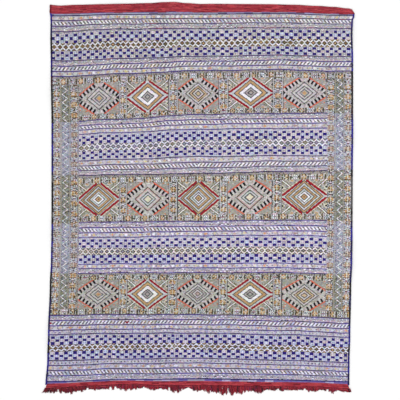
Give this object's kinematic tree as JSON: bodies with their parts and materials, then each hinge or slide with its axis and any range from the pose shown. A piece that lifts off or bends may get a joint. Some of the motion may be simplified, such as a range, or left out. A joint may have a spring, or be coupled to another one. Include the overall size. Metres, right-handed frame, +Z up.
{
  "type": "flat-woven rug",
  "caption": "Flat-woven wool rug with striped and brocaded bands, side borders, a plain red end and a short red fringe, for covering a floor",
  "frame": {"origin": "on the floor under the middle of the whole rug, fringe included", "axes": "+X across the rug, +Y along it toward the plain red end, +Z up from the floor"},
  "size_m": [1.6282, 2.0666, 0.0102],
  "materials": {
    "cloth": "flat-woven wool, striped and brocaded in indigo, lilac, cream and olive with red ends",
    "fringe": "matted red wool yarn"
  },
  "bodies": {
    "root": {"rug": "cloth", "fringe": "fringe"}
  },
  "joints": []
}
